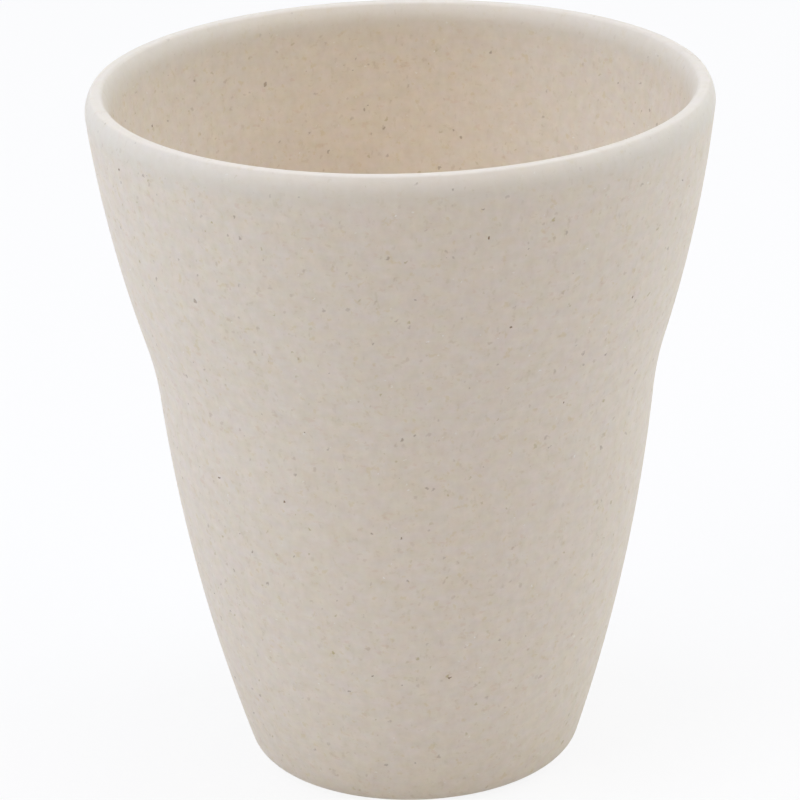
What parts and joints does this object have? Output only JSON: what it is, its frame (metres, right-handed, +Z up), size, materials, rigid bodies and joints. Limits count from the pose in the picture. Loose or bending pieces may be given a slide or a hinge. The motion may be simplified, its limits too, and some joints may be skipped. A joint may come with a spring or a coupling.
{
  "type": "bamboo fibre cup",
  "caption": "Handleless bamboo fibre drinking cup: a flared tumbler with a soft waist, a rounded lip and a flat foot ring, in matt speckled cream.",
  "frame": {"origin": "centre of the plane that the foot ring stands on", "axes": "+Z up along the cup's axis; the cup is round, so +X and +Y are any two level directions, and the picture looks along +Y"},
  "size_m": [0.09, 0.09, 0.103],
  "materials": {
    "bamboo_fibre": "moulded bamboo fibre composite: matt cream with fine brown and tan fibre specks, satin on the lip"
  },
  "bodies": {
    "root": {"cup_body": "bamboo_fibre"}
  },
  "joints": []
}
